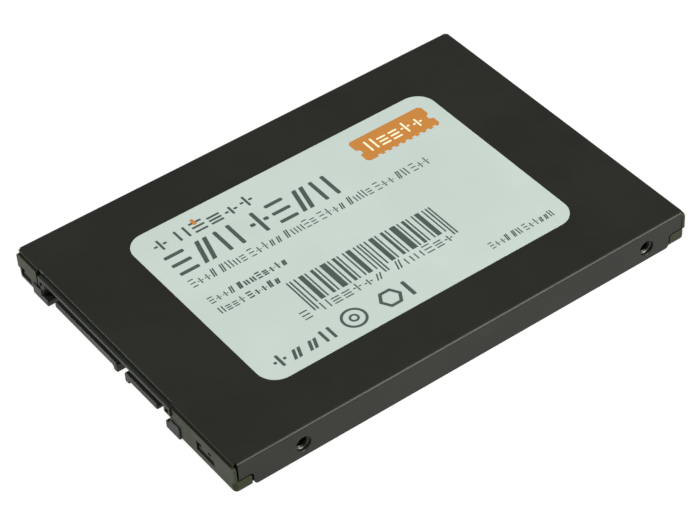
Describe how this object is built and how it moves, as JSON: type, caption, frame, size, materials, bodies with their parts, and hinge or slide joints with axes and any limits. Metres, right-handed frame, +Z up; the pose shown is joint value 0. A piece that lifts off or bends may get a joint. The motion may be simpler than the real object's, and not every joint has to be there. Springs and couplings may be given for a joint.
{
  "type": "solid state drive",
  "caption": "Flat 2.5-inch storage drive: folded steel cover snapped over a pressed tray, edge plug at one end, screw holes in both sides and the base, paper label on top.",
  "frame": {"origin": "centre of the drive's overall footprint, on the underside", "axes": "+Z up through the labelled cover, -Y out of the plug end, X across the drive"},
  "size_m": [0.0698, 0.1004, 0.007],
  "materials": {
    "cover_paint": "fine satin dark grey paint on steel sheet",
    "tray_finish": "satin dark grey-olive paint on steel sheet",
    "label_film": "matt coated paper label",
    "solder_mask": "green solder mask on glass-epoxy board",
    "standoff_steel": "plated turned steel",
    "screw_steel": "nickel-plated steel",
    "polyester_film": "thin polyester film",
    "contact_gold": "gold-plated copper alloy",
    "tinned_metal": "tinned sheet metal",
    "plug_plastic": "glass-filled black moulding",
    "mould_compound": "matt black moulded chip package",
    "ferrite": "dark grey ferrite",
    "tantalum_case": "moulded ochre capacitor case",
    "ceramic_body": "brown ceramic body",
    "thermal_pad": "soft filled silicone pad"
  },
  "bodies": {
    "root": {"top_cover": "cover_paint", "base_tray": "tray_finish", "top_label": "label_film", "circuit_board": "solder_mask", "board_standoffs": "standoff_steel", "board_screws": "screw_steel", "insulating_film": "polyester_film", "power_contacts": "contact_gold", "signal_contacts": "contact_gold", "connector_board_locks": "tinned_metal", "connector_housing": "plug_plastic", "controller_chip": "mould_compound", "dram_chip": "mould_compound", "firmware_memory_chip": "mould_compound", "power_regulator_chip": "mould_compound", "input_protection_chip": "mould_compound", "power_inductors": "ferrite", "bulk_capacitors": "tantalum_case", "input_fuse": "ceramic_body", "crystal_oscillator": "tinned_metal", "ceramic_capacitors": "ceramic_body", "chip_resistors": "ferrite", "controller_thermal_pad": "thermal_pad", "flash_thermal_pad_left": "thermal_pad", "flash_thermal_pad_right": "thermal_pad", "flash_chip_1": "mould_compound", "flash_chip_2": "mould_compound", "flash_chip_3": "mould_compound", "flash_chip_4": "mould_compound", "flash_chip_5": "mould_compound", "flash_chip_6": "mould_compound", "flash_chip_7": "mould_compound", "flash_chip_8": "mould_compound"}
  },
  "joints": []
}
